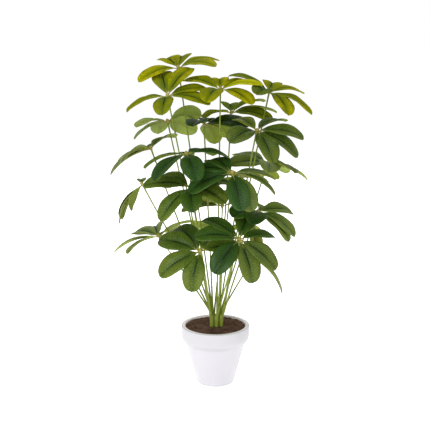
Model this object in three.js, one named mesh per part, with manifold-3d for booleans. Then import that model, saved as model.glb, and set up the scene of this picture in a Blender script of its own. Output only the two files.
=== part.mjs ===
// Potted umbrella plant: white pot, soil, five split stalks and their umbrella-like leaves.
// Millimetres, +Z up. The origin is the middle of the pot's underside, and -Y is the front.
import * as THREE from "three";
import { mergeVertices } from "three/addons/utils/BufferGeometryUtils.js";
import Module from "manifold-3d";

const wasm = await Module();
wasm.setup();

// Driving dimensions of the pot
const potHeight = 163;
const rimRadius = 92;
const rimHeight = 36;
const rimRounding = 1.5;
const rimWall = 10;
const chamferHeight = 15;
const waistRadius = 79;
const footRadius = 51;
const footRounding = 5;
const potWall = 10;
const potFloor = 10;
const potSides = 36;

// Driving dimensions of the soil and the stalks
const gap = 0.3;
const soilHeight = 158;
const stalkRadius = 6;
const stalkTopRadius = 3.8;
const stalkSides = 10;
const stalkInSoil = 55;
const stalkAboveSoil = 38;
const leafStemRadius = 2.3;
const leafStemSides = 5;
const leafStemSteps = 5;
const leafStemRootAboveSoil = 27;
const leafStemSpread = 3.3;

// Driving dimensions of a leaf
const hubTopRadius = 5.5;
const hubFootRadius = 3.6;
const hubHeight = 9;
const hubSides = 6;
const leafletRootRadius = 3;
const leafNod = 0.18;
const fullNodDepth = 60;
const leafletLength = 112;
const leafletWidthShare = 0.53;
const leafletThickness = 0.9;
const leafletBend = 50;
const leafletFold = 0.16;
const leafletOutline = [
  { along: 0.0, width: 0.05 },
  { along: 0.12, width: 0.1 },
  { along: 0.34, width: 0.66 },
  { along: 0.6, width: 1.0 },
  { along: 0.87, width: 0.77 },
  { along: 1.0, width: 0.2 },
];

// Where each stalk stands upright in the soil, as [x, y]
const stalkPlaces = [[-9.5, -8], [3, -11], [15.5, -7], [-4, 5.5], [9, 6]];

// Each leaf has its hub's place, the number of the stalk that bears it, and its leaflets as
// [turn, rise, length, roll]: the turn is the angle round +Z from +X, the rise is the angle of
// the leaflet's chord above the horizon, and the roll turns the blade about that chord. The
// length and the roll are only given where they aren't the usual ones. The nod, where it is
// given, says how far the leaf leans back, or forward if it is below zero.
const leaves = [
  { hub: [-97, 40, 853], stalk: 4, nod: -0.15,
    leaflets: [[111, 4], [82, 9, 108], [20, 7], [333, 5, 108], [203, -16, 112, -10]] },
  { hub: [-122, -60, 793], stalk: 1,
    leaflets: [
      [100, 24], [49, 34, 109], [16, 4], [343, -9], [172, -22, 112, 8], [205, -17, 112, 14],
      [264, -19, 100],
    ] },
  { hub: [13, -40, 807], stalk: 2,
    leaflets: [[148, 7], [251, -9, 108], [92, 9, 92], [40, 2], [350, 6, 107], [315, -14]] },
  { hub: [139, -10, 796], stalk: 3,
    leaflets: [[168, 20], [251, 4, 106], [82, 4, 104], [30, -6, 104], [351, -27, 122], [297, -25, 108]] },
  { hub: [42, 60, 732], stalk: 5,
    leaflets: [
      [344, -8, 110, 32], [12, -2, 122, 10], [38, 10], [91, 2, 106], [165, -10, 80], [222, -3, 92],
    ] },
  { hub: [105, -80, 707], stalk: 3,
    leaflets: [[46, 6, 108, -25], [356, -9, 119], [345, -31, 122], [294, -35], [232, -8], [126, 10, 92]] },
  { hub: [-30, 30, 706], stalk: 4,
    leaflets: [[338, 0, 122, 25], [42, -25, 108, -30], [72, -36], [82, -5, 85], [256, 6]] },
  { hub: [-127, 60, 709], stalk: 4, nod: 0.2,
    leaflets: [[36, 4, 108, -48], [43, -22, 108, -40], [108, -28, 102], [147, -14, 104], [215, -20, 106]] },
  { hub: [-170, 20, 643], stalk: 4,
    leaflets: [[58, 6], [151, -25, 106], [232, -9, 108, 14], [192, -32, 125], [105, -14, 80]] },
  { hub: [-74, -90, 650], stalk: 1, nod: 0.1,
    leaflets: [[165, -22, 118, 12], [222, -28, 118], [286, -27], [85, -20, 70], [52, -11], [10, -9]] },
  { hub: [43, -130, 608], stalk: 2,
    leaflets: [
      [188, -23, 118], [150, -3], [122, 6], [13, -12, 112, -25], [350, -26, 119, -32],
      [317, -52, 110, 16], [288, -46, 110, 15],
    ] },
  { hub: [138, 60, 593], stalk: 5,
    leaflets: [[350, -20, 114], [307, -3], [270, 0], [208, 4, 112, -35], [140, 5, 112, -25], [60, -22]] },
  { hub: [-64, -95, 563], stalk: 1,
    leaflets: [[183, 2, 118], [137, 3], [207, -43, 114], [275, -22, 110], [325, -14], [20, 0]] },
  { hub: [-193, 0, 551], stalk: 4,
    leaflets: [[97, 2, 50, 20], [50, -14], [195, -59, 118, 8], [160, -60, 112, 10], [226, -58, 74, 50]] },
  { hub: [-151, 20, 404], stalk: 4,
    leaflets: [
      [190, -18, 125], [221, -16, 107], [136, -6, 100], [95, 0], [60, -6, 100], [28, 13],
      [303, -1, 93],
    ] },
  { hub: [-38, -140, 406], stalk: 1,
    leaflets: [[124, 20], [152, 7, 120], [193, -29, 120], [251, -52, 110], [29, -2], [69, 5]] },
  { hub: [61, -160, 442], stalk: 2, nod: -0.05,
    leaflets: [
      [190, 5, 112, 8], [150, 19, 112, 14], [27, -4, 101, -22], [224, -39], [304, -60, 114],
      [344, -37, 117], [76, 22, 108],
    ] },
  { hub: [110, -40, 486], stalk: 3,
    leaflets: [[28, -8, 106], [348, -32, 115], [334, -38], [261, -3], [233, 4], [68, -18]] },
  { hub: [102, 30, 341], stalk: 5, leaflets: [[340, -48, 120], [114, 0], [95, 38], [136, -14]] },
  { hub: [19, 100, 469], stalk: 5, leaflets: [[115, 1], [195, -5, 112, -35], [70, 11], [155, 0], [346, 0]] },
  { hub: [70, 150, 537], stalk: 5,
    leaflets: [
      [100, -10], [60, -10], [20, -5], [140, -5], [180, 0], [335, -3, 80], [202, -22, 110],
    ] },
  { hub: [18, 130, 388], stalk: 4,
    leaflets: [[100, -10], [60, -10], [20, -5], [140, -5], [184, -22, 125], [216, -5]] },
];

// Materials
const potWhite = new THREE.MeshStandardMaterial({ color: 0xedecf2, roughness: 0.45, metalness: 0 });
const soilBrown = new THREE.MeshStandardMaterial({ color: 0x3a2a22, roughness: 0.95, metalness: 0 });
const stalkGreen = new THREE.MeshStandardMaterial({ color: 0x6c8a1e, roughness: 0.5, metalness: 0 });
const leafGreen = new THREE.MeshStandardMaterial({ color: 0x2b5420, roughness: 0.5, metalness: 0 });

const up = new THREE.Vector3(0, 0, 1);
const back = new THREE.Vector3(0, 1, 0);

// A closed geometry as a solid that can be joined and cut
function solidFrom(geometry) {
  const bare = geometry.clone();
  bare.deleteAttribute("normal");
  bare.deleteAttribute("uv");
  const merged = mergeVertices(bare, 1e-4);
  return new wasm.Manifold(new wasm.Mesh({
    numProp: 3,
    vertProperties: new Float32Array(merged.attributes.position.array),
    triVerts: new Uint32Array(merged.index.array),
  }));
}

function geometryFrom(solid) {
  const { vertProperties, triVerts } = solid.getMesh();
  const geometry = new THREE.BufferGeometry();
  geometry.setAttribute("position", new THREE.BufferAttribute(vertProperties, 3));
  geometry.setIndex(new THREE.BufferAttribute(triVerts, 1));
  return geometry;
}

function joined(geometries) {
  return geometries.map(solidFrom).reduce((whole, next) => whole.add(next));
}

function namedMesh(name, geometry, material) {
  geometry.computeVertexNormals();
  const mesh = new THREE.Mesh(geometry, material);
  mesh.name = name;
  return mesh;
}

// A lathed profile of [radius, height] points, turned to stand along +Z
function lathed(profile, sides) {
  const points = profile.map(([radius, height]) => new THREE.Vector2(radius, height));
  return new THREE.LatheGeometry(points, sides).rotateX(Math.PI / 2);
}

// The inside of the pot as [radius, height] points from its floor to its rim
const bandFoot = potHeight - rimHeight;
const waistHeight = bandFoot - chamferHeight;
const potInside = [
  [footRadius - potWall, potFloor],
  [waistRadius - potWall, waistHeight],
  [rimRadius - rimWall, potHeight],
];

// Pot: a rim band, a chamfer under it, and a body that tapers to a rounded foot
function potGeometry() {
  const profile = [
    [0, 0],
    [footRadius - footRounding, 0],
    [footRadius - footRounding * 0.3, footRounding * 0.3],
    [footRadius, footRounding],
    [waistRadius, waistHeight],
    [rimRadius, bandFoot],
    [rimRadius, potHeight - rimRounding],
    [rimRadius - rimRounding, potHeight],
    ...potInside.toReversed(),
    [0, potFloor],
  ];
  return lathed(profile, potSides);
}

// Soil: it fills the pot and has a plain hole for each stalk
function soilGeometry() {
  const [floorPoint, waistPoint, rimPoint] = potInside;
  const share = (soilHeight - waistPoint[1]) / (rimPoint[1] - waistPoint[1]);
  const soilTopRadius = waistPoint[0] + share * (rimPoint[0] - waistPoint[0]);
  const profile = [
    [0, floorPoint[1] + gap],
    [floorPoint[0] - gap, floorPoint[1] + gap],
    [waistPoint[0] - gap, waistPoint[1]],
    [soilTopRadius - gap, soilHeight],
    [0, soilHeight],
  ];
  const holeProfile = [
    [0, soilHeight - stalkInSoil - gap],
    [stalkRadius + gap, soilHeight - stalkInSoil - gap],
    [stalkRadius + gap, soilHeight + 1],
    [0, soilHeight + 1],
  ];
  return stalkPlaces.reduce((soil, [x, y]) => {
    const hole = lathed(holeProfile, stalkSides).translate(x, y, 0);
    return soil.subtract(solidFrom(hole));
  }, solidFrom(lathed(profile, potSides)));
}

// Where a leaf's stem starts, the straight way from there to the hub, and the axis that the stem's
// tip and the hub share, which nods backward for a leaf at the back and forward for one in front.
function placesOf(leaf) {
  const hub = new THREE.Vector3(...leaf.hub);
  const [x, y] = stalkPlaces[leaf.stalk - 1];
  const stalkAxis = new THREE.Vector3(x, y, soilHeight + leafStemRootAboveSoil);
  const outward = hub.clone().sub(stalkAxis).setZ(0).normalize();
  const root = stalkAxis.clone().addScaledVector(outward, leafStemSpread);
  const reach = hub.clone().sub(root);
  const nod = leaf.nod ?? leafNod * THREE.MathUtils.clamp(hub.y / fullNodDepth, -1, 1);
  const axis = reach.clone().normalize().addScaledVector(back, nod).normalize();
  return { hub, root, reach, axis };
}

// A leaf's stem: a thin tube from inside the stalk to just under the hub
function leafStemGeometry(leaf) {
  const { hub, root, reach, axis } = placesOf(leaf);
  const tip = hub.clone().addScaledVector(axis, -hubHeight / 2 - gap);
  const route = new THREE.CubicBezierCurve3(
    root,
    root.clone().addScaledVector(reach, 0.3).addScaledVector(up, reach.length() * 0.04),
    tip.clone().addScaledVector(axis, -reach.length() * 0.3),
    tip,
  );
  const section = new THREE.Shape().absarc(0, 0, leafStemRadius, 0, 2 * Math.PI);
  return new THREE.ExtrudeGeometry(section, {
    curveSegments: leafStemSides,
    steps: leafStemSteps,
    bevelEnabled: false,
    extrudePath: route,
  });
}

// A stalk: a thick upright stub that splits into the stems of its leaves
function stalkGeometry(number) {
  const [x, y] = stalkPlaces[number - 1];
  const profile = [
    [0, soilHeight - stalkInSoil],
    [stalkRadius, soilHeight - stalkInSoil],
    [stalkRadius, soilHeight + leafStemRootAboveSoil],
    [stalkTopRadius, soilHeight + stalkAboveSoil],
    [0, soilHeight + stalkAboveSoil],
  ];
  const stub = lathed(profile, stalkSides).translate(x, y, 0);
  const stems = leaves.filter((leaf) => leaf.stalk === number).map(leafStemGeometry);
  return joined([stub, ...stems]);
}

// A leaflet: a thin arched blade, folded along its midrib, with the same triangles on both faces
function leafletGeometry(hub, axis, [turn, rise, length = leafletLength, roll = 0]) {
  const turnAngle = THREE.MathUtils.degToRad(turn);
  const riseAngle = THREE.MathUtils.degToRad(rise);
  const rollAngle = THREE.MathUtils.degToRad(roll);
  const halfBend = THREE.MathUtils.degToRad(leafletBend / 2);
  const level = new THREE.Vector3(Math.cos(turnAngle), Math.sin(turnAngle), 0);
  const chord = level.clone().multiplyScalar(Math.cos(riseAngle)).addScaledVector(up, Math.sin(riseAngle));
  const side = axis.clone().cross(chord).normalize().applyAxisAngle(chord, rollAngle);
  const crown = chord.clone().cross(side);
  const halfWidth = length * leafletWidthShare / 2;
  const points = [];
  for (const face of [1, -1]) {
    for (const { along, width } of leafletOutline) {
      const slope = halfBend * (1 - 2 * along);
      const arch = length * (Math.cos(slope) - Math.cos(halfBend)) / (2 * Math.sin(halfBend));
      const reach = length * (Math.sin(halfBend) - Math.sin(slope)) / (2 * Math.sin(halfBend));
      for (const across of [-1, 0, 1]) {
        const fold = Math.abs(across) * width * halfWidth * leafletFold;
        const lift = arch + fold + face * leafletThickness / 2;
        const point = hub.clone()
          .addScaledVector(chord, leafletRootRadius + reach)
          .addScaledVector(side, across * width * halfWidth)
          .addScaledVector(crown, lift);
        points.push(...point.toArray());
      }
    }
  }
  return bladeGeometry(points, leafletOutline.length);
}

// The closed skin of a blade that is given as rows of three points, the upper face first
function bladeGeometry(points, rows) {
  const triangles = [];
  const quad = (a, b, c, d) => triangles.push(a, b, c, a, c, d);
  const upper = (row, column) => row * 3 + column;
  const lower = (row, column) => (rows + row) * 3 + column;
  for (let row = 0; row < rows - 1; row += 1) {
    for (const column of [0, 1]) {
      quad(upper(row, column), upper(row + 1, column), upper(row + 1, column + 1), upper(row, column + 1));
      triangles.push(lower(row, column), lower(row + 1, column + 1), lower(row + 1, column));
      triangles.push(lower(row, column), lower(row, column + 1), lower(row + 1, column + 1));
    }
    quad(lower(row, 0), lower(row + 1, 0), upper(row + 1, 0), upper(row, 0));
    quad(upper(row, 2), upper(row + 1, 2), lower(row + 1, 2), lower(row, 2));
  }
  for (const column of [0, 1]) {
    quad(upper(0, column), upper(0, column + 1), lower(0, column + 1), lower(0, column));
    const last = rows - 1;
    quad(lower(last, column), lower(last, column + 1), upper(last, column + 1), upper(last, column));
  }
  const geometry = new THREE.BufferGeometry();
  geometry.setAttribute("position", new THREE.Float32BufferAttribute(points, 3));
  geometry.setIndex(triangles);
  return geometry;
}

// A leaf: its hub sits on the stem's tip and holds the leaflets' roots
function leafGeometry(leaf) {
  const { hub, axis } = placesOf(leaf);
  const upright = new THREE.Quaternion().setFromUnitVectors(new THREE.Vector3(0, 1, 0), axis);
  const hubBody = new THREE.CylinderGeometry(hubTopRadius, hubFootRadius, hubHeight, hubSides)
    .applyQuaternion(upright)
    .translate(...leaf.hub);
  const leaflets = leaf.leaflets.map((leaflet) => leafletGeometry(hub, axis, leaflet));
  return joined([hubBody, ...leaflets]);
}

const plant = new THREE.Group();
plant.add(namedMesh("pot", potGeometry(), potWhite));
plant.add(namedMesh("soil", geometryFrom(soilGeometry()), soilBrown));
stalkPlaces.forEach((place, index) => {
  const number = index + 1;
  plant.add(namedMesh(`stalk_${number}`, geometryFrom(stalkGeometry(number)), stalkGreen));
});
leaves.forEach((leaf, index) => {
  const number = String(index + 1).padStart(2, "0");
  plant.add(namedMesh(`leaf_${number}`, geometryFrom(leafGeometry(leaf)), leafGreen));
});

export default plant;
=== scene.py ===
import math
import random

import bmesh
import bpy
from mathutils import Matrix, Vector, noise
from mathutils.geometry import interpolate_bezier


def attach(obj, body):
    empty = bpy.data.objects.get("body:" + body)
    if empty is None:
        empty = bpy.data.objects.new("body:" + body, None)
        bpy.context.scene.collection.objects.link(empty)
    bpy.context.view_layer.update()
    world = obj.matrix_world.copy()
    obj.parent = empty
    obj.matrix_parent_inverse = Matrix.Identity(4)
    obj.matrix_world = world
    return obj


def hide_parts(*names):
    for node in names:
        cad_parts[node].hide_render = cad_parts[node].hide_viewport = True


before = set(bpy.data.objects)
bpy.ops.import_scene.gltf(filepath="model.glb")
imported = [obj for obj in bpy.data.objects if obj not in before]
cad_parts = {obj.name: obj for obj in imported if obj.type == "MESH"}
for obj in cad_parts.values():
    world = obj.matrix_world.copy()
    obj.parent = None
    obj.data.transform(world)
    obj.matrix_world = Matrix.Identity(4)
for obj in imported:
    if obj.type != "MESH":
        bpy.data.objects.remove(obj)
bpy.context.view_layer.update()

mm = 0.001
up = Vector((0, 0, 1))
back = Vector((0, 1, 0))
scene = bpy.context.scene


# camera, as the photograph sees the plant
view = {
    "place": (-0.001, -3.2, 1.231),
    "pitchDown": 13.42,
    "lens": 103.8,
    "sensor": 36.0,
}


def addCamera():
    data = bpy.data.cameras.new("camera")
    data.lens = view["lens"]
    data.sensor_width = view["sensor"]
    data.clip_end = 100
    camera = bpy.data.objects.new("camera", data)
    camera.location = view["place"]
    camera.rotation_euler = (math.radians(90 - view["pitchDown"]), 0, 0)
    scene.collection.objects.link(camera)
    scene.camera = camera


# a material's shader with short ways to add the nodes that this scene uses
class Shading:
    def __init__(self, name):
        self.material = bpy.data.materials.new(name)
        self.material.use_nodes = True
        self.nodes = self.material.node_tree.nodes
        self.links = self.material.node_tree.links
        self.shader = self.nodes["Principled BSDF"]

    def put(self, socket, value):
        if isinstance(value, bpy.types.NodeSocket):
            self.links.new(value, socket)
        elif isinstance(value, tuple):
            socket.default_value = (*value, 1)
        else:
            socket.default_value = value

    def set(self, **values):
        names = {"color": "Base Color", "roughness": "Roughness", "specular": "Specular IOR Level",
                 "normal": "Normal", "glow": "Emission Strength", "glowColor": "Emission Color"}
        for key, value in values.items():
            self.put(self.shader.inputs[names[key]], value)

    def math(self, operation, first, second=None, clamp=False):
        node = self.nodes.new("ShaderNodeMath")
        node.operation = operation
        node.use_clamp = clamp
        self.put(node.inputs[0], first)
        if second is not None:
            self.put(node.inputs[1], second)
        return node.outputs[0]

    def mix(self, factor, first, second):
        node = self.nodes.new("ShaderNodeMix")
        node.data_type = "RGBA"
        self.put(node.inputs[0], factor)
        self.put(node.inputs[6], first)
        self.put(node.inputs[7], second)
        return node.outputs[2]

    def noise(self, scale, detail=3.0, roughness=0.5):
        coords = self.nodes.new("ShaderNodeTexCoord")
        node = self.nodes.new("ShaderNodeTexNoise")
        node.inputs["Scale"].default_value = scale
        node.inputs["Detail"].default_value = detail
        node.inputs["Roughness"].default_value = roughness
        self.links.new(coords.outputs["Object"], node.inputs["Vector"])
        return node.outputs["Fac"]

    # a net of thin lines
    def net(self, scale):
        coords = self.nodes.new("ShaderNodeTexCoord")
        cells = self.nodes.new("ShaderNodeTexVoronoi")
        cells.feature = "DISTANCE_TO_EDGE"
        cells.inputs["Scale"].default_value = scale
        self.links.new(coords.outputs["Object"], cells.inputs["Vector"])
        return self.range(cells.outputs["Distance"], 0.12, 0.02)

    def range(self, value, low, high, newLow=0.0, newHigh=1.0):
        node = self.nodes.new("ShaderNodeMapRange")
        for socket, setting in zip(node.inputs, (value, low, high, newLow, newHigh)):
            self.put(socket, setting)
        return node.outputs["Result"]

    def bump(self, height, strength, distance):
        node = self.nodes.new("ShaderNodeBump")
        node.inputs["Strength"].default_value = strength
        node.inputs["Distance"].default_value = distance
        self.links.new(height, node.inputs["Height"])
        return node.outputs["Normal"]


# turns a bmesh into a piece that rides on the plant's one body
def makePiece(bm, name, materials, replaced, smooth=True):
    mesh = bpy.data.meshes.new(name)
    bm.to_mesh(mesh)
    bm.free()
    for material in materials:
        mesh.materials.append(material)
    for face in mesh.polygons:
        face.use_smooth = smooth
    piece = bpy.data.objects.new(name, mesh)
    scene.collection.objects.link(piece)
    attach(piece, "root")
    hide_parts(replaced)


# spins an outline of (radius, height) points once round +Z
def spunShape(outline, steps):
    bm = bmesh.new()
    corners = [bm.verts.new((radius * mm, 0, height * mm)) for radius, height in outline]
    edges = [bm.edges.new(pair) for pair in zip(corners, corners[1:])]
    bmesh.ops.spin(
        bm,
        geom=corners + edges,
        axis=up,
        cent=(0, 0, 0),
        angle=math.tau,
        steps=steps,
        use_merge=True,
    )
    bmesh.ops.remove_doubles(bm, verts=bm.verts, dist=0.02 * mm)
    bmesh.ops.recalc_face_normals(bm, faces=bm.faces)
    return bm


# rounds the ring of edges that lies at a radius and height
def roundRing(bm, radius, height, offset, segments=4):
    tolerance = 0.1 * mm

    def onRing(vert):
        reach = math.hypot(vert.co.x, vert.co.y)
        return abs(reach - radius * mm) < tolerance and abs(vert.co.z - height * mm) < tolerance

    ring = [edge for edge in bm.edges if all(onRing(vert) for vert in edge.verts)]
    bmesh.ops.bevel(
        bm,
        geom=ring,
        offset=offset * mm,
        offset_type="OFFSET",
        segments=segments,
        profile=0.5,
        material=-1,
        affect="EDGES",
    )


# pot, in millimetres
pot = {
    "height": 163,
    "rimRadius": 92,
    "rimHeight": 36,
    "rimWall": 10,
    "chamfer": 15,
    "waistRadius": 79,
    "footRadius": 51,
    "footFlat": 46,
    "footHeight": 5,
    "wall": 10,
    "floor": 10,
    "steps": 128,
    "cornerRadius": 21,
    "cornerSteps": 14,
    "grooveStep": 6,
    "grooveDepth": 0.7,
    "color": (0.67, 0.655, 0.7),
    # the rim colour is painted light: a lighter, lavender copy of the paint for the rim's top and inner
    # wall, which the foliage shades and tints green
    "paintedLightRimColor": (0.88, 0.82, 0.91),
    # shade, shadeFrom and shadeFull set painted shade: a greyer colour on faces that turn down, as under the
    # band
    "shade": 0.84,
    "roughness": 0.36,
    "rounding": 2.2,
    "rimRoundSteps": 5,
    "waistRounding": 2.0,
    "waistRoundSteps": 3,
    "shadeFrom": -0.3,
    "shadeFull": -0.62,
}
bandFoot = pot["height"] - pot["rimHeight"]
waistHeight = bandFoot - pot["chamfer"]


# satin paint, with painted shade where the pot faces down under its band
def potMaterial(name, color):
    paint = Shading(name)
    surface = paint.nodes.new("ShaderNodeNewGeometry")
    facing = paint.nodes.new("ShaderNodeSeparateXYZ")
    paint.links.new(surface.outputs["Normal"], facing.inputs[0])
    # painted shade: the colour greys as the surface turns to face down
    downward = paint.range(facing.outputs[2], pot["shadeFrom"], pot["shadeFull"])
    clouds = paint.noise(14.0)
    pores = paint.noise(260.0, 2.0)
    dimmer = tuple(channel * 0.97 for channel in color)
    shaded = tuple(channel * pot["shade"] for channel in color)
    cloudy = paint.mix(paint.range(clouds, 0.3, 0.7), color, dimmer)
    paint.set(
        color=paint.mix(downward, cloudy, shaded),
        roughness=paint.range(clouds, 0.3, 0.7, pot["roughness"] - 0.03, pot["roughness"] + 0.04),
        normal=paint.bump(pores, 0.06, 0.0004),
    )
    return paint.material


# the band's lower corner, from the chamfer up to the wall: an arc with a fine groove in it
def bandCorner():
    slant = math.atan2(pot["chamfer"], pot["rimRadius"] - pot["waistRadius"])
    sweep = math.pi / 2 - slant
    reach = pot["cornerRadius"] * math.tan(sweep / 2)
    centerRadius = pot["rimRadius"] - pot["cornerRadius"]
    points = []
    for step in range(pot["cornerSteps"] + 1):
        angle = sweep * (step / pot["cornerSteps"] - 1)
        depth = pot["grooveDepth"] if step == pot["grooveStep"] else 0
        arc = pot["cornerRadius"] - depth
        points.append((centerRadius + arc * math.cos(angle), bandFoot + reach + arc * math.sin(angle)))
    return points


def makePot():
    outline = [
        (0, 0),
        (pot["footFlat"], 0),
        (pot["footRadius"], pot["footHeight"]),
        (pot["waistRadius"], waistHeight),
        *bandCorner(),
        (pot["rimRadius"], pot["height"]),
        (pot["rimRadius"] - pot["rimWall"], pot["height"]),
        (pot["waistRadius"] - pot["wall"], waistHeight),
        (pot["footRadius"] - pot["wall"], pot["floor"]),
        (0, pot["floor"]),
    ]
    bm = spunShape(outline, pot["steps"])
    for radius in (pot["rimRadius"], pot["rimRadius"] - pot["rimWall"]):
        roundRing(bm, radius, pot["height"], pot["rounding"], pot["rimRoundSteps"])
    roundRing(bm, pot["waistRadius"], waistHeight, pot["waistRounding"], pot["waistRoundSteps"])
    roundRing(bm, pot["footRadius"], pot["footHeight"], pot["rounding"])
    roundRing(bm, pot["footFlat"], 0, pot["rounding"])
    # painted light: the rim's top and inner wall take the lighter rim paint, standing in for light that the
    # foliage blocks
    for face in bm.faces:
        middle = face.calc_center_median() / mm
        onRim = middle.z > waistHeight and face.normal.dot(middle * Vector((1, 1, 0))) < 1
        face.material_index = int(onRim)
    materials = [potMaterial("satinWhitePot", pot["color"]), potMaterial("satinWhiteRimPaintedLight", pot["paintedLightRimColor"])]
    makePiece(bm, "whitePot", materials, "pot")


# soil, in millimetres
soil = {
    "height": 158,
    "gap": 0.3,
    "steps": 120,
    "rings": 44,
    "lift": 1.5,
    "heap": 2.4,
    "heapLevel": 0.6,
    "heapRadius": 82,
    "lumps": 2.0,
    "lumpSize": 9,
    "crumbReach": 0.97,
    "crumbs": 260,
    "paleCrumbs": 9,
    "crumbSize": (0.7, 2.0),
    "dark": (0.057, 0.031, 0.022),
    "light": (0.165, 0.09, 0.068),
    "pale": (0.5, 0.44, 0.36),
}


def soilMaterial(name, dark, light):
    earth = Shading(name)
    grains = earth.noise(420.0, 4.0, 0.7)
    patches = earth.noise(60.0)
    tone = earth.range(earth.math("MULTIPLY", grains, patches), 0.16, 0.4)
    earth.set(
        color=earth.mix(tone, dark, light),
        roughness=earth.range(patches, 0.3, 0.7, 0.88, 0.98),
        specular=0.15,
        normal=earth.bump(grains, 0.7, 0.0012),
    )
    return earth.material


# the soil's height at a place: slightly heaped in the middle, with lumps of three sizes
def soilSurface(x, y):
    reach = math.hypot(x, y) / soil["heapRadius"]
    point = Vector((x, y, 0)) / soil["lumpSize"]
    lumps = noise.noise(point) + 0.5 * noise.noise(point * 2.7) + 0.3 * noise.noise(point * 6.1)
    heap = soil["heap"] * (soil["heapLevel"] - reach * reach)
    return soil["height"] + soil["lift"] + heap + soil["lumps"] * lumps


def addCrumb(bm, dice, topRadius, pale):
    turn = dice.uniform(0, math.tau)
    reach = topRadius * soil["crumbReach"] * math.sqrt(dice.random())
    size = dice.uniform(*soil["crumbSize"]) * mm
    x = reach * math.cos(turn)
    y = reach * math.sin(turn)
    place = Vector((x, y, soilSurface(x, y))) * mm + up * size * 0.2
    squash = Matrix.Diagonal((size, size * dice.uniform(0.6, 1), size * 0.7, 1))
    spot = Matrix.Translation(place) @ Matrix.Rotation(dice.uniform(0, math.tau), 4, up) @ squash
    crumb = bmesh.ops.create_icosphere(bm, subdivisions=1, radius=1, matrix=spot)
    for vert in crumb["verts"]:
        for face in vert.link_faces:
            face.material_index = int(pale)


def makeSoil():
    rise = (soil["height"] - waistHeight) / (pot["height"] - waistHeight)
    innerWaist = pot["waistRadius"] - pot["wall"]
    innerRim = pot["rimRadius"] - pot["rimWall"]
    topRadius = innerWaist + (innerRim - innerWaist) * rise - soil["gap"]
    rings = [(topRadius * ring / soil["rings"], soil["height"]) for ring in range(soil["rings"] + 1)]
    outline = rings + [
        (innerWaist - soil["gap"], waistHeight),
        (pot["footRadius"] - pot["wall"] - soil["gap"], pot["floor"] + soil["gap"]),
        (0, pot["floor"] + soil["gap"]),
    ]
    bm = spunShape(outline, soil["steps"])
    for vert in bm.verts:
        if vert.co.z > (soil["height"] - 1) * mm:
            vert.co.z = soilSurface(vert.co.x / mm, vert.co.y / mm) * mm
    dice = random.Random(11)
    for number in range(soil["crumbs"]):
        addCrumb(bm, dice, topRadius, number < soil["paleCrumbs"])
    materials = [
        soilMaterial("darkBrownSoil", soil["dark"], soil["light"]),
        soilMaterial("paleCrumb", soil["light"], soil["pale"]),
    ]
    makePiece(bm, "soilFilling", materials, "soil", smooth=False)


# stalks and leaf stems, in millimetres; the profile gives shares of the radius at heights
# above the soil, and the taper and swellings are shares of the stem's radius
stalk = {
    "places": [(-9.5, -8), (3, -11), (15.5, -7), (-4, 5.5), (9, 6)],
    "radius": 6.0,
    "topRadius": 3.8,
    "inSoil": 55,
    "aboveSoil": 38,
    "stemRootAboveSoil": 27,
    "stemSpread": 3.3,
    "sides": 24,
    "profile": [(1, 2), (0.94, 9), (0.97, 16)],
    "stemRadius": 2.3,
    "stemPoints": 30,
    "stemSides": 12,
    "stemHandle": 0.3,
    "stemLift": 0.04,
    "stemFullness": 0.98,
    "stemTaper": 0.16,
    "tipSwelling": 0.22,
    "tipSteepness": 22,
    "rootSwelling": 0.25,
    "rootSteepness": 9,
    "light": (0.26, 0.34, 0.02),
    "dark": (0.12, 0.165, 0.012),
    "pale": (0.36, 0.42, 0.09),
}
hubColors = {
    "light": (0.44, 0.36, 0.07),
    "dark": (0.22, 0.2, 0.03),
    "pale": (0.5, 0.46, 0.18),
}

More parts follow.
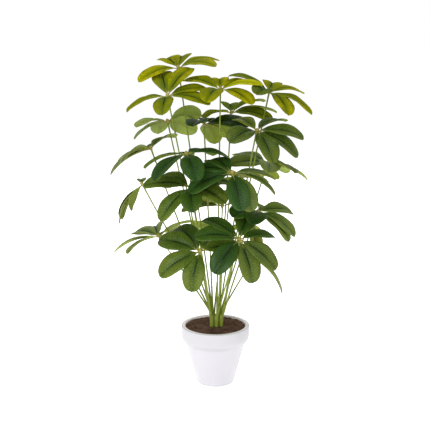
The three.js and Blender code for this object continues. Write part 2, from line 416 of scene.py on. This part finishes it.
# leaves, in millimetres and degrees: the hub's place, the stalk, and the leaflets as
# (turn, rise, length, roll), as the part has them; a tone is (youth, lightness, fading),
# and tones holds the tone of each leaflet that differs from its whorl
leafPlan = [
    dict(hub=(-97, 40, 853), stalk=4, nod=-0.15,
         tone=(0.62, 0.6, 0.02), tones={4: (0.62, 0.6, 0.14), 5: (0.95, 0.65, 0.0)},
         leaflets=[(111, 4), (82, 9, 108), (20, 7), (333, 5, 108), (203, -16, 112, -10)]),
    dict(hub=(-122, -60, 793), stalk=1,
         tone=(0.56, 0.62, 0.0),
         tones={5: (0.38, 0.6, 0.16), 6: (0.38, 0.6, 0.0), 7: (0.38, 0.6, 0.0)},
         leaflets=[(100, 24), (49, 34, 109), (16, 4), (343, -9), (172, -22, 112, 8),
                   (205, -17, 112, 14), (264, -19, 100)]),
    dict(hub=(13, -40, 807), stalk=2,
         tone=(0.95, 0.55, 0.0), tones={1: (0.7, 0.75, 0.0), 2: (0.55, 0.5, 0.0), 5: (1.0, 0.8, 0.0)},
         leaflets=[(148, 7), (251, -9, 108), (92, 9, 92), (40, 2), (350, 6, 107), (315, -14)]),
    dict(hub=(139, -10, 796), stalk=3,
         tone=(0.6, 0.6, 0.0), tones={1: (0.25, 0.45, 0.0), 2: (0.15, 0.4, 0.0)},
         leaflets=[(168, 20), (251, 4, 106), (82, 4, 104), (30, -6, 104), (351, -27, 122),
                   (297, -25, 108)]),
    dict(hub=(42, 60, 732), stalk=5,
         tone=(0.32, 0.55, 0.0),
         leaflets=[(344, -8, 110, 32), (12, -2, 122, 10), (38, 10), (91, 2, 106), (165, -10, 80),
                   (222, -3, 92)]),
    dict(hub=(105, -80, 707), stalk=3,
         tone=(0.14, 0.44, 0.02), tones={6: (0.25, 0.5, 0.0)},
         leaflets=[(46, 6, 108, -25), (356, -9, 119), (345, -31, 122), (294, -35), (232, -8),
                   (126, 10, 92)]),
    dict(hub=(-30, 30, 706), stalk=4,
         tone=(0.0, 0.12, 0.02), tones={2: (0.35, 0.46, 0.25), 3: (0.35, 0.46, 0.2)},
         leaflets=[(338, 0, 122, 25), (42, -25, 108, -30), (72, -36), (82, -5, 85), (256, 6)]),
    dict(hub=(-127, 60, 709), stalk=4, nod=0.2,
         tone=(0.12, 0.65, 0.55), tones={1: (0.12, 0.8, 0.7), 2: (0.15, 0.92, 0.7)},
         leaflets=[(36, 4, 108, -48), (43, -22, 108, -40), (108, -28, 102), (147, -14, 104),
                   (215, -20, 106)]),
    dict(hub=(-170, 20, 643), stalk=4,
         tone=(0.15, 0.5, 0.4),
         leaflets=[(58, 6), (151, -25, 106), (232, -9, 108, 14), (192, -32, 125), (105, -14, 80)]),
    dict(hub=(-74, -90, 650), stalk=1, nod=0.1,
         tone=(0.0, 0.45, 0.0),
         leaflets=[(165, -22, 118, 12), (222, -28, 118), (286, -27), (85, -20, 70), (52, -11), (10, -9)]),
    dict(hub=(43, -130, 608), stalk=2,
         tone=(0.0, 0.5, 0.02), tones={4: (0.12, 0.6, 0.2), 5: (0.15, 0.6, 0.25), 6: (0.13, 0.6, 0.25)},
         leaflets=[(188, -23, 118), (150, -3), (122, 6), (13, -12, 112, -25), (350, -26, 119, -32),
                   (317, -52, 110, 16), (288, -46, 110, 15)]),
    dict(hub=(138, 60, 593), stalk=5,
         tone=(0.15, 0.95, 0.5),
         tones={2: (0.3, 0.4, 0.0), 4: (0.15, 0.5, 0.35), 5: (0.15, 0.5, 0.35)},
         leaflets=[(350, -20, 114), (307, -3), (270, 0), (208, 4, 112, -35), (140, 5, 112, -25),
                   (60, -22)]),
    dict(hub=(-64, -95, 563), stalk=1,
         tone=(0.12, 0.6, 0.03), tones={4: (0.05, 0.65, 0.0)},
         leaflets=[(183, 2, 118), (137, 3), (207, -43, 114), (275, -22, 110), (325, -14), (20, 0)]),
    dict(hub=(-193, 0, 551), stalk=4,
         tone=(0.15, 0.55, 0.6),
         leaflets=[(97, 2, 50, 20), (50, -14), (195, -59, 118, 8), (160, -60, 112, 10),
                   (226, -58, 74, 50)]),
    dict(hub=(-151, 20, 404), stalk=4,
         tone=(0.15, 0.6, 0.9),
         leaflets=[(190, -18, 125), (221, -16, 107), (136, -6, 100), (95, 0), (60, -6, 100), (28, 13),
                   (303, -1, 93)]),
    dict(hub=(-38, -140, 406), stalk=1,
         tone=(0.16, 0.57, 0.05), tones={1: (0.05, 0.35, 0.0), 2: (0.1, 0.55, 0.03)},
         leaflets=[(124, 20), (152, 7, 120), (193, -29, 120), (251, -52, 110), (29, -2), (69, 5)]),
    dict(hub=(61, -160, 442), stalk=2, nod=-0.05,
         tone=(0.04, 0.6, 0.02), tones={4: (0.0, 0.5, 0.04), 5: (0.14, 0.4, 0.12), 6: (0.16, 0.42, 0.15)},
         leaflets=[(190, 5, 112, 8), (150, 19, 112, 14), (27, -4, 101, -22), (224, -39), (304, -60, 114),
                   (344, -37, 117), (76, 22, 108)]),
    dict(hub=(110, -40, 486), stalk=3,
         tone=(0.14, 0.8, 0.35), tones={4: (0.0, 0.45, 0.0), 5: (0.0, 0.45, 0.0)},
         leaflets=[(28, -8, 106), (348, -32, 115), (334, -38), (261, -3), (233, 4), (68, -18)]),
    dict(hub=(102, 30, 341), stalk=5,
         tone=(0.15, 0.5, 0.7), tones={3: (0.65, 0.6, 0.1)},
         leaflets=[(340, -48, 120), (114, 0), (95, 38), (136, -14)]),
    dict(hub=(19, 100, 469), stalk=5,
         tone=(0.3, 0.5, 0.3),
         leaflets=[(115, 1), (195, -5, 112, -35), (70, 11), (155, 0), (346, 0)]),
    dict(hub=(70, 150, 537), stalk=5,
         tone=(0.3, 0.5, 0.2), tones={6: (0.05, 0.45, 0.0), 7: (0.6, 0.65, 0.1)},
         leaflets=[(100, -10), (60, -10), (20, -5), (140, -5), (180, 0), (335, -3, 80),
                   (202, -22, 110)]),
    dict(hub=(18, 130, 388), stalk=4,
         tone=(0.3, 0.5, 0.2),
         leaflets=[(100, -10), (60, -10), (20, -5), (140, -5), (184, -22, 125), (216, -5)]),
]

# one leaf's shape, in millimetres and degrees
leafShape = {
    "hubTopRadius": 5.5,
    "hubFootRadius": 3.6,
    "hubHeight": 9,
    "hubTopShare": 0.85,
    "hubBallShare": 0.72,
    "hubBallHeight": 0.42,
    "rootRadius": 3,
    "nod": 0.18,
    "fullNodDepth": 60,
    "length": 112,
    "widthShare": 0.53,
    "widthChance": (0.97, 1.03),
    "thickness": 0.8,
    "bend": 50,
    "fold": 0.15,
    "crown": 0.1,
    "groove": 0.7,
    "grooveWidth": 1.6,
    "grooveFade": 0.6,
    "fadeStart": 0.13,
    "fadeLength": 0.12,
    "bladeStart": 0.055,
    "stalkletWidth": 0.08,
    "widest": 1.18,
    "baseFullness": 0.7,
    "tipFullness": 0.38,
    "veins": 15,
    "veinSlant": 2.2,
    "veinRelief": 0.4,
    "edgeWaves": 11,
    "edgeShift": 0.8,
    "waveHeight": (0.6, 1.6),
    "sway": 1.5,
    "twist": 0.1,
    "toneChances": [(0.8, 1.2), (0.85, 1.15), (0.7, 1.3)],
    "ribSteps": 14,
    "ribEnd": 0.86,
    "ribRadius": 1.35,
    "ribTaper": 1.0,
    "ribSides": 8,
    "rows": 64,
    "columns": 12,
}


# where a leaf's stem starts, and which way its tip points
def leafAxis(leaf):
    hub = Vector(leaf["hub"])
    x, y = stalk["places"][leaf["stalk"] - 1]
    stalkAxis = Vector((x, y, soil["height"] + stalk["stemRootAboveSoil"]))
    outward = (hub - stalkAxis) * Vector((1, 1, 0))
    root = stalkAxis + outward.normalized() * stalk["stemSpread"]
    reach = hub - root
    depth = max(-1.0, min(1.0, hub.y / leafShape["fullNodDepth"]))
    nod = leaf.get("nod", leafShape["nod"] * depth)
    return root, (reach.normalized() + back * nod).normalized()


# the points along a leaf's stem, which bends from its stalk up to its hub
def stemRoute(leaf):
    hub = Vector(leaf["hub"])
    root, axis = leafAxis(leaf)
    reach = hub - root
    tip = hub - axis * (leafShape["hubHeight"] / 2 + soil["gap"])
    firstHandle = root + reach * stalk["stemHandle"] + up * reach.length * stalk["stemLift"]
    lastHandle = tip - axis * reach.length * stalk["stemHandle"]
    return interpolate_bezier(root, firstHandle, lastHandle, tip, stalk["stemPoints"])


# several tapered round tubes as one mesh: each tube is a list of points and a list of radii
def tubesMesh(tubes, sides):
    data = bpy.data.curves.new("tubes", "CURVE")
    data.dimensions = "3D"
    data.bevel_depth = mm
    data.bevel_resolution = sides // 4 - 1
    data.use_fill_caps = True
    for points, radii in tubes:
        spline = data.splines.new("POLY")
        spline.points.add(len(points) - 1)
        for target, point, radius in zip(spline.points, points, radii):
            target.co = (*(point * mm), 1)
            target.radius = radius
    holder = bpy.data.objects.new("tubes", data)
    mesh = bpy.data.meshes.new_from_object(holder)
    bpy.data.objects.remove(holder)
    bpy.data.curves.remove(data)
    return mesh


def stemMaterial(name, colors):
    skin = Shading(name)
    streaks = skin.noise(90.0, 4.0, 0.6)
    blotches = skin.noise(12.0, 2.0)
    green = skin.mix(skin.range(streaks, 0.3, 0.7), colors["light"], colors["dark"])
    skin.set(
        color=skin.mix(skin.range(blotches, 0.45, 0.75), green, colors["pale"]),
        roughness=skin.range(streaks, 0.3, 0.7, 0.4, 0.52),
        specular=0.3,
        normal=skin.bump(streaks, 0.25, 0.0005),
    )
    return skin.material


# a stalk: its thick stub and the stems of its leaves
def makeStalk(number, material):
    x, y = stalk["places"][number - 1]
    footHeight = soil["height"] - stalk["inSoil"]
    neckHeight = soil["height"] + stalk["stemRootAboveSoil"]
    topHeight = soil["height"] + stalk["aboveSoil"]
    outline = [
        (0, footHeight),
        (stalk["radius"], footHeight),
        *((stalk["radius"] * share, soil["height"] + rise) for share, rise in stalk["profile"]),
        (stalk["radius"], neckHeight - 2),
        (stalk["radius"] * 0.9, neckHeight + 4),
        (stalk["topRadius"], topHeight - 2),
        (stalk["topRadius"] * 0.6, topHeight),
        (0, topHeight),
    ]
    bm = spunShape(outline, stalk["sides"])
    bmesh.ops.translate(bm, verts=bm.verts, vec=(x * mm, y * mm, 0))
    tubes = []
    for leaf in leafPlan:
        if leaf["stalk"] != number:
            continue
        points = stemRoute(leaf)
        radii = []
        for step in range(len(points)):
            share = step / (len(points) - 1)
            fullness = stalk["stemFullness"] - stalk["stemTaper"] * share
            fullness += stalk["tipSwelling"] * math.exp(-(((share - 1) * stalk["tipSteepness"]) ** 2))
            fullness += stalk["rootSwelling"] * math.exp(-((share * stalk["rootSteepness"]) ** 2))
            radii.append(stalk["stemRadius"] * fullness)
        tubes.append((points, radii))
    bm.from_mesh(tubesMesh(tubes, stalk["stemSides"]))
    makePiece(bm, f"stalkStems_{number}", [material], f"stalk_{number}")


# leaf colours: old leaves are dark green, young ones yellow-green, faded ones a pale olive
topColors = {
    "old": (0.012, 0.052, 0.005),
    "young": (0.46, 0.42, 0.001),
    "faded": (0.24, 0.28, 0.09),
    "oldBand": (0.006, 0.028, 0.005),
    "youngBand": (0.10, 0.17, 0.002),
    "edge": (0.05, 0.11, 0.008),
    "vein": (0.055, 0.13, 0.014),
    "midVein": (0.15, 0.25, 0.045),
    "youngVein": (0.11, 0.17, 0.002),
    "rib": (0.003, 0.012, 0.003),
    "stalklet": (0.30, 0.32, 0.05),
    "edgeStrength": 0.5,
    "bandStrength": 0.85,
    "veinStrength": 0.6,
    "netStrength": 0.45,
    "ribStrength": 0.92,
    "roughness": 0.36,
    "specular": 0.2,
}
youngTopColors = {**topColors, "roughness": 0.6, "specular": 0.03}
underColors = {
    "old": (0.165, 0.244, 0.03),
    "young": (0.38, 0.435, 0.01),
    "faded": (0.31, 0.374, 0.104),
    "oldBand": (0.113, 0.183, 0.019),
    "youngBand": (0.278, 0.33, 0.01),
    "edge": (0.33, 0.41, 0.08),
    "vein": (0.28, 0.37, 0.08),
    "midVein": (0.3, 0.39, 0.08),
    "youngVein": (0.36, 0.42, 0.02),
    "rib": (0.34, 0.42, 0.11),
    "stalklet": (0.30, 0.32, 0.05),
    "edgeStrength": 0.4,
    "bandStrength": 0.5,
    "veinStrength": 0.4,
    "netStrength": 0.3,
    "ribStrength": 0.6,
    "roughness": 0.6,
    "specular": 0.08,
}
leafPattern = {
    "cloudScale": 42.0,
    "fineScale": 340.0,
    "netScale": 190.0,
    "youngFrom": 0.3,
}


# leaf materials: the UV runs across the blade in X and along it in Y, and the "tone"
# attribute holds the leaflet's youth, lightness and fading
def leafMaterial(name, colors, bumpSign):
    leaf = Shading(name)
    uv = leaf.nodes.new("ShaderNodeUVMap")
    uv.uv_map = "UVMap"
    place = leaf.nodes.new("ShaderNodeSeparateXYZ")
    leaf.links.new(uv.outputs["UV"], place.inputs[0])
    across = leaf.math("MULTIPLY", leaf.math("ABSOLUTE", leaf.math("SUBTRACT", place.outputs[0], 0.5)), 2.0)
    along = place.outputs[1]
    tone = leaf.nodes.new("ShaderNodeAttribute")
    tone.attribute_name = "tone"
    tones = leaf.nodes.new("ShaderNodeSeparateColor")
    leaf.links.new(tone.outputs["Color"], tones.inputs[0])
    youthShare, lightness, fading = tones.outputs[:3]
    clouds = leaf.noise(leafPattern["cloudScale"], 4.0, 0.6)
    fine = leaf.noise(leafPattern["fineScale"])
    cloudShift = leaf.math("SUBTRACT", clouds, 0.5)

    # youth grows towards the tip, in patches
    patchy = leaf.math("MULTIPLY", youthShare, leaf.range(clouds, 0.35, 0.65, 0.55, 1.4))
    youth = leaf.math("MULTIPLY", patchy, leaf.range(along, 0.2, 0.9, 0.75, 1.2), clamp=True)
    base = leaf.mix(youth, colors["old"], colors["young"])
    base = leaf.mix(fading, base, colors["faded"])

    # a lighter edge, and a dark band along the midrib that narrows towards the tip
    edge = leaf.range(across, 0.55, 1.0, 0.0, colors["edgeStrength"])
    base = leaf.mix(edge, base, leaf.mix(youth, colors["edge"], colors["young"]))
    bandReach = leaf.math("ADD", across, leaf.math("MULTIPLY", along, 0.35))
    bandReach = leaf.math("SUBTRACT", bandReach, leaf.math("MULTIPLY", cloudShift, 0.8))
    band = leaf.range(bandReach, 0.68, 0.16, 0.0, colors["bandStrength"])
    base = leaf.mix(band, base, leaf.mix(youth, colors["oldBand"], colors["youngBand"]))

    # side veins, a thin paler line each time the phase is whole, and the midrib
    phase = leaf.math("MULTIPLY", along, leafShape["veins"])
    phase = leaf.math("SUBTRACT", phase, leaf.math("MULTIPLY", across, leafShape["veinSlant"]))
    turn = leaf.math("ABSOLUTE", leaf.math("SUBTRACT", leaf.math("FRACT", phase), 0.5))
    veins = leaf.range(turn, 0.36, 0.5)
    paleness = leaf.math("MULTIPLY", veins, colors["veinStrength"])
    veinColor = leaf.mix(leaf.range(youth, 0.02, 0.14), colors["vein"], colors["midVein"])
    veinColor = leaf.mix(leaf.range(youth, 0.25, 0.5), veinColor, colors["youngVein"])
    base = leaf.mix(paleness, base, veinColor)
    netLines = leaf.net(leafPattern["netScale"])
    base = leaf.mix(leaf.math("MULTIPLY", netLines, colors["netStrength"]), base, veinColor)
    ribReach = leaf.math("ADD", across, leaf.range(along, 0.6, 0.9, 0.0, 0.1))
    rib = leaf.range(ribReach, 0.075, 0.03, 0.0, colors["ribStrength"])
    base = leaf.mix(rib, base, colors["rib"])
    base = leaf.mix(leaf.range(along, 0.1, 0.06), base, colors["stalklet"])
    adjust = leaf.nodes.new("ShaderNodeHueSaturation")
    leaf.put(adjust.inputs["Value"], leaf.range(lightness, 0.0, 1.0, 0.5, 1.5))
    leaf.put(adjust.inputs["Color"], base)
    relief = leaf.math("ADD", leaf.math("MULTIPLY", fine, 0.3), veins)
    leaf.set(
        color=adjust.outputs["Color"],
        roughness=leaf.range(clouds, 0.3, 0.7, colors["roughness"] - 0.06, colors["roughness"] + 0.08),
        specular=colors["specular"],
        normal=leaf.bump(relief, 0.4, 0.0004 * bumpSign),
    )
    return leaf.material


# a blade's width share: narrow stalklet, widest past the middle, blunt tip
def bladeWidth(along):
    start = leafShape["bladeStart"]
    if along <= start:
        return leafShape["stalkletWidth"]
    share = (along - start) / (1 - start)
    wave = math.sin(math.pi * share ** leafShape["widest"])
    peak = 0.5 ** (1 / leafShape["widest"])
    fullness = leafShape["baseFullness"] if share < peak else leafShape["tipFullness"]
    return max(leafShape["stalkletWidth"] * (1 - share), max(wave, 0.0) ** fullness)


# how far a place along a leaflet is past its stalklet and into the full blade, from 0 to 1
def bladeShare(along):
    return min(1.0, max(0.0, (along - leafShape["fadeStart"]) / leafShape["fadeLength"]))


# a leaflet's directions, its bent middle line, and its share of chance
class Leaflet:
    def __init__(self, hub, axis, leaf, number, dice):
        usual = (0, 0, leafShape["length"], 0)
        given = leaf["leaflets"][number - 1]
        turn, rise, self.length, roll = (*given, *usual[len(given):])
        turn, rise, roll = (math.radians(angle) for angle in (turn, rise, roll))
        level = Vector((math.cos(turn), math.sin(turn), 0))
        self.hub = hub
        self.chord = level * math.cos(rise) + up * math.sin(rise)
        self.side = Matrix.Rotation(roll, 3, self.chord) @ axis.cross(self.chord).normalized()
        self.crown = self.chord.cross(self.side)
        self.halfWidth = self.length * leafShape["widthShare"] / 2 * dice.uniform(*leafShape["widthChance"])
        self.wavePhase = dice.uniform(0, math.tau)
        self.waveHeight = dice.uniform(*leafShape["waveHeight"])
        self.sway = dice.uniform(-leafShape["sway"], leafShape["sway"])
        self.twist = dice.uniform(-leafShape["twist"], leafShape["twist"])
        tone = leaf.get("tones", {}).get(number, leaf["tone"])
        chances = [dice.uniform(*chance) for chance in leafShape["toneChances"]]
        self.tone = (*(min(1.0, share * chance) for share, chance in zip(tone, chances)), 1)

    # a place on the leaflet: along its bent middle line, to the side of it and above it
    def place(self, along, sideways, lift):
        halfBend = math.radians(leafShape["bend"] / 2)
        slope = halfBend * (1 - 2 * along)
        arch = self.length * (math.cos(slope) - math.cos(halfBend)) / (2 * math.sin(halfBend))
        reach = self.length * (math.sin(halfBend) - math.sin(slope)) / (2 * math.sin(halfBend))
        sideways += self.sway * math.sin(math.pi * along)
        forward = self.chord * (leafShape["rootRadius"] + reach)
        return self.hub + forward + self.side * sideways + self.crown * (arch + lift)

    # the blade's surface: folded up from the midrib, puffed between the veins, wavy at the edge
    def surface(self, along, across):
        width = bladeWidth(along) * self.halfWidth
        share = abs(across)
        blade = bladeShare(along)
        lift = width * (leafShape["fold"] * share + leafShape["crown"] * math.sin(math.pi * share))
        groove = leafShape["groove"] * blade * math.exp(-((share * width / leafShape["grooveWidth"]) ** 2))
        lift -= groove * (1 - along * leafShape["grooveFade"])
        phase = along * leafShape["veins"] - share * leafShape["veinSlant"]
        puff = abs(math.cos(math.pi * phase)) * min(1.0, share * 5) * (1 - 0.6 * share)
        lift += leafShape["veinRelief"] * blade * puff
        sideShift = leafShape["edgeShift"] if across > 0 else 0
        edgeWave = math.sin(along * leafShape["edgeWaves"] + self.wavePhase + sideShift)
        lift += self.waveHeight * share * share * blade * edgeWave
        lift += self.twist * across * width * along
        return self.place(along, across * width, lift) * mm

    # the rib under the blade, which is also the round stalklet at its root
    def rib(self):
        steps = leafShape["ribSteps"]
        points = []
        radii = []
        for step in range(steps + 1):
            along = leafShape["ribEnd"] * step / steps
            radius = leafShape["ribRadius"] - leafShape["ribTaper"] * along
            depth = leafShape["groove"] * 0.7 + radius * 0.6
            sink = leafShape["thickness"] / 2 + bladeShare(along) * depth
            points.append(self.place(along, 0, -sink))
            radii.append(radius)
        return points, radii


# one leaflet's blade, shaped from a flat grid and given its thickness
def addBlade(bm, leaflet, uvLayer, toneLayer):
    grid = bmesh.ops.create_grid(bm, x_segments=leafShape["columns"], y_segments=leafShape["rows"], size=0.5)
    faces = {face for vert in grid["verts"] for face in vert.link_faces}
    spots = {}
    for vert in grid["verts"]:
        along = vert.co.y + 0.5
        across = vert.co.x * 2
        vert.co = leaflet.surface(along, across)
        spots[vert] = (across / 2 + 0.5, along)
    for face in faces:
        for loop in face.loops:
            loop[uvLayer].uv = spots[loop.vert]
            loop[toneLayer] = leaflet.tone
    bmesh.ops.recalc_face_normals(bm, faces=list(faces))
    facing = sum((face.normal for face in faces), Vector())
    if facing.dot(leaflet.crown) < 0:
        bmesh.ops.reverse_faces(bm, faces=list(faces))
    before = set(bm.faces)
    bmesh.ops.solidify(bm, geom=list(faces), thickness=leafShape["thickness"] * mm)
    for face in set(bm.faces) - before:
        face.normal_update()
        face.material_index = 1 if face.normal.dot(leaflet.crown) < -0.3 else 0


# a leaf: its blades with their ribs, and the hub that holds them, a cone with a round top
def makeLeaf(number, leaf, materials):
    dice = random.Random(100 + number)
    hub = Vector(leaf["hub"])
    axis = leafAxis(leaf)[1]
    bm = bmesh.new()
    uvLayer = bm.loops.layers.uv.new("UVMap")
    toneLayer = bm.loops.layers.float_color.new("tone")
    ribs = []
    for leafletNumber in range(1, len(leaf["leaflets"]) + 1):
        leaflet = Leaflet(hub, axis, leaf, leafletNumber, dice)
        addBlade(bm, leaflet, uvLayer, toneLayer)
        ribs.append(leaflet.rib())
    bladeFaces = len(bm.faces)
    bm.from_mesh(tubesMesh(ribs, leafShape["ribSides"]))
    tilt = up.rotation_difference(axis).to_matrix().to_4x4()
    ballPlace = hub + axis * leafShape["hubHeight"] * leafShape["hubBallHeight"]
    bmesh.ops.create_cone(
        bm,
        cap_ends=True,
        segments=16,
        radius1=leafShape["hubFootRadius"] * mm,
        radius2=leafShape["hubTopRadius"] * leafShape["hubTopShare"] * mm,
        depth=leafShape["hubHeight"] * mm,
        matrix=Matrix.Translation(hub * mm) @ tilt,
    )
    bmesh.ops.create_uvsphere(
        bm,
        u_segments=12,
        v_segments=8,
        radius=leafShape["hubTopRadius"] * leafShape["hubBallShare"] * mm,
        matrix=Matrix.Translation(ballPlace * mm) @ tilt,
    )
    bm.faces.ensure_lookup_table()
    for face in bm.faces[bladeFaces:]:
        face.material_index = 2
    makePiece(bm, f"whorl_{number:02d}", materials, f"leaf_{number:02d}")


# floor and light
studio = {
    "floor": (0.9, 0.9, 0.9),
    "floorGlow": 0.65,
    "floorSize": 60,
    "world": 0.4,
    "lamps": [
        {"name": "keyLight", "place": (-1.6, -2.4, 2.6), "aim": (0, 0, 0.5), "size": 1.4, "power": 34},
        {"name": "fillLight", "place": (2.2, -1.8, 1.6), "aim": (0, 0, 0.5), "size": 2.0, "power": 4},
        {"name": "topLight", "place": (0.2, 0.3, 3.0), "aim": (0, 0, 0.5), "size": 1.4, "power": 8},
        {"name": "frontLight", "place": (-0.6, -3.0, 1.3), "aim": (0, 0, 0.4), "size": 1.4, "power": 20},
        {"name": "rimLight", "place": (0.3, 2.4, 1.7), "aim": (0, 0, 0.2), "size": 1.2, "power": 50,
         "gloss": False},
    ],
}


def makeStudio():
    bm = bmesh.new()
    bmesh.ops.create_grid(bm, x_segments=1, y_segments=1, size=studio["floorSize"] / 2)
    mesh = bpy.data.meshes.new("paleFloor")
    bm.to_mesh(mesh)
    bm.free()
    floor = bpy.data.objects.new("paleFloor", mesh)
    scene.collection.objects.link(floor)
    ground = Shading("paleFloor")
    ground.set(color=studio["floor"], roughness=0.9, glow=studio["floorGlow"], glowColor=(1.0, 1.0, 1.0))
    mesh.materials.append(ground.material)
    world = bpy.data.worlds.new("softWorld")
    world.use_nodes = True
    backdrop = world.node_tree.nodes["Background"]
    backdrop.inputs["Color"].default_value = (1, 1, 1, 1)
    backdrop.inputs["Strength"].default_value = studio["world"]
    scene.world = world
    for lamp in studio["lamps"]:
        data = bpy.data.lights.new(lamp["name"], "AREA")
        data.shape = "DISK"
        data.size = lamp["size"]
        data.energy = lamp["power"]
        light = bpy.data.objects.new(lamp["name"], data)
        light.location = lamp["place"]
        light.visible_glossy = lamp.get("gloss", True)
        aim = Vector(lamp["aim"]) - Vector(lamp["place"])
        light.rotation_euler = aim.to_track_quat("-Z", "Y").to_euler()
        scene.collection.objects.link(light)
    scene.view_settings.view_transform = "Standard"


addCamera()
makeStudio()
print("stage: camera, floor and light")
makePot()
makeSoil()
print("stage: pot and soil")
stemGreen = stemMaterial("stemGreen", stalk)
for number in range(1, len(stalk["places"]) + 1):
    makeStalk(number, stemGreen)
print("stage: stalks and leaf stems")
oldTop = leafMaterial("leafTop", topColors, 1)
youngTop = leafMaterial("youngLeafTop", youngTopColors, 1)
underside = leafMaterial("leafUnderside", underColors, -1)
hubYellow = stemMaterial("hubYellow", hubColors)
for number, leaf in enumerate(leafPlan, start=1):
    top = youngTop if leaf["tone"][0] > leafPattern["youngFrom"] else oldTop
    makeLeaf(number, leaf, [top, underside, hubYellow])
print("stage: leaves")
